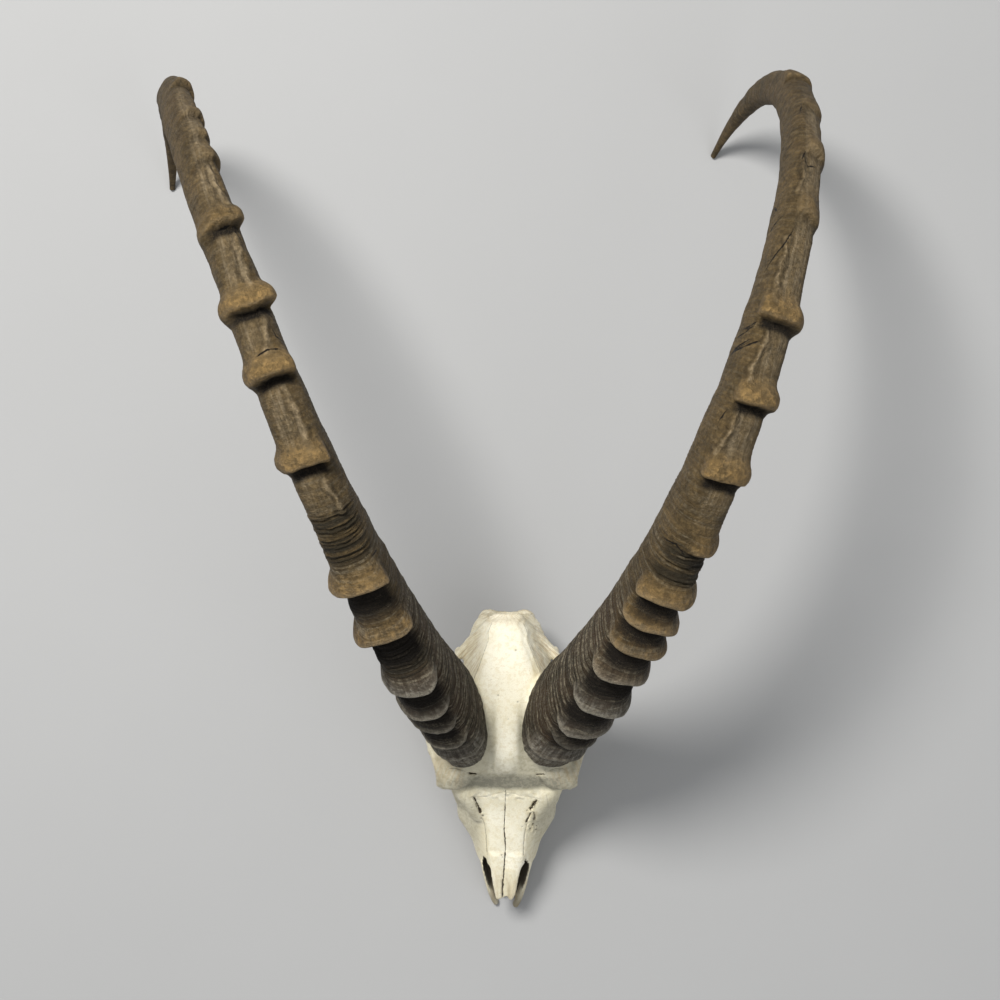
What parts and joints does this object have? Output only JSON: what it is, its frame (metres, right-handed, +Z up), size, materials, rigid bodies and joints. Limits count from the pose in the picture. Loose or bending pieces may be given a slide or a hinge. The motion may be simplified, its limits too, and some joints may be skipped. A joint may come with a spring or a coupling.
{
  "type": "siberian ibex skull",
  "caption": "Upper skull of a male Siberian ibex with long knobbed horns sweeping back in an arch, resting on the tips of its upper jaw and of its horns.",
  "frame": {"origin": "middle of the whole object seen from above, on the surface that it rests on", "axes": "+Z up; +Y from the snout to the back of the head, along which the horns sweep; +X to the animal's left"},
  "size_m": [0.5801, 0.7689, 0.3931],
  "materials": {
    "bone": "matte",
    "horn": "matte",
    "enamel": "satin"
  },
  "bodies": {
    "root": {"cranium": "bone", "horn_left": "horn", "horn_right": "horn", "tooth_left_p2": "enamel", "tooth_left_p3": "enamel", "tooth_left_p4": "enamel", "tooth_left_m1": "enamel", "tooth_left_m2": "enamel", "tooth_left_m3": "enamel", "tooth_right_p2": "enamel", "tooth_right_p3": "enamel", "tooth_right_p4": "enamel", "tooth_right_m1": "enamel", "tooth_right_m2": "enamel", "tooth_right_m3": "enamel"}
  },
  "joints": []
}
